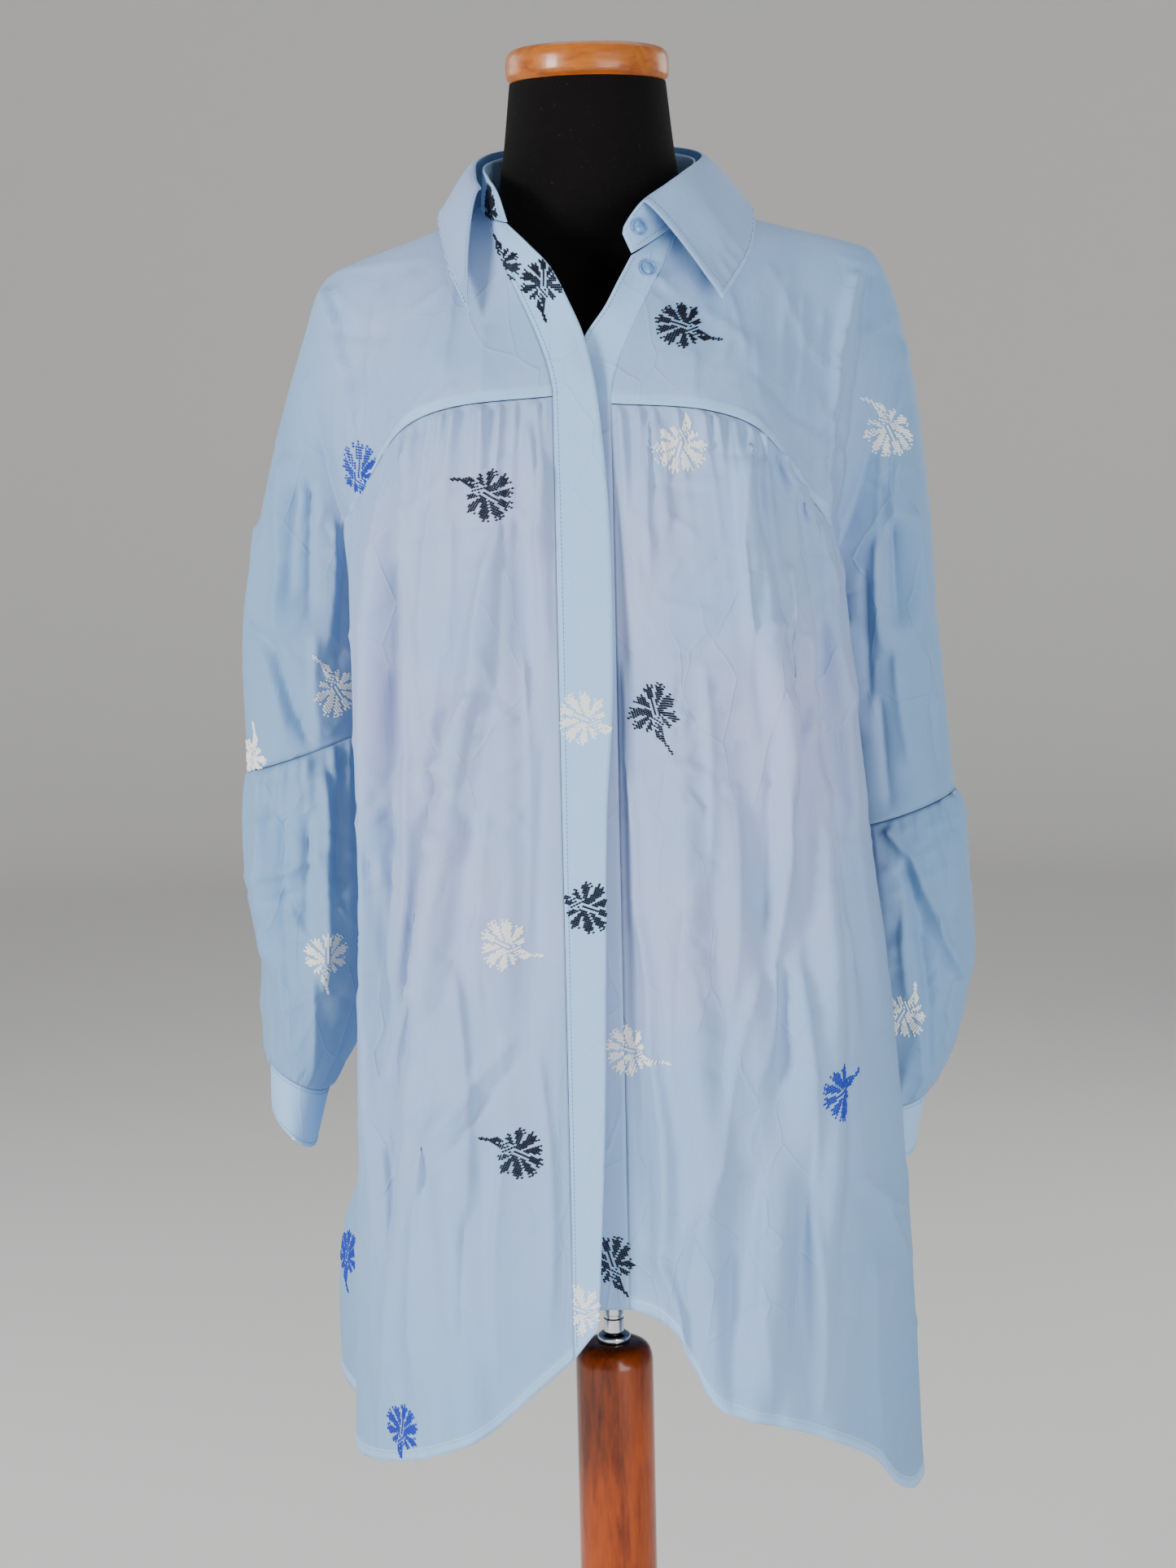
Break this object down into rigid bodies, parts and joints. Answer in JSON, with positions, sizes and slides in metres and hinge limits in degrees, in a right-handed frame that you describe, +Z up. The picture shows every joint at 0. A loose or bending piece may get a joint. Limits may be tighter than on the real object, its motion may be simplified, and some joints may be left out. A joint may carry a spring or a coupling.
{
  "type": "embroidered shirt on a dress form",
  "caption": "Oversized light-blue cotton tunic shirt with scattered cross-stitch flowers, worn by a covered dress form on a round-based wooden pole.",
  "frame": {"origin": "centre of the base's underside, on the floor", "axes": "+Z up along the pole, -Y the way the shirt's front faces, +X to the wearer's left"},
  "size_m": [0.5703, 0.38, 1.55],
  "materials": {
    "cotton": "crisp plain-weave cotton, light blue",
    "button": "pale blue translucent, low gloss",
    "form_cover": "black stretch jersey",
    "cap_wood": "honey-coloured turned wood, satin lacquer",
    "pole_wood": "reddish-brown polished wood",
    "steel": "polished",
    "thread_navy": "navy stranded cotton thread",
    "thread_ivory": "ivory stranded cotton thread",
    "thread_blue": "royal blue stranded cotton thread"
  },
  "bodies": {
    "root": {"base": "pole_wood", "pole": "pole_wood", "stem": "steel", "neck_cap": "cap_wood", "form_torso": "form_cover", "front_yoke_right": "cotton", "front_yoke_left": "cotton", "back_yoke": "cotton", "front_panel_right": "cotton", "front_panel_left": "cotton", "back_panel": "cotton", "sleeve_lower_right": "cotton", "sleeve_lower_left": "cotton", "cuff_right": "cotton", "cuff_left": "cotton", "placket_right": "cotton", "button_band_left": "cotton", "collar_stand": "cotton", "collar": "cotton", "button_top": "button", "button_second": "button"}
  },
  "joints": []
}
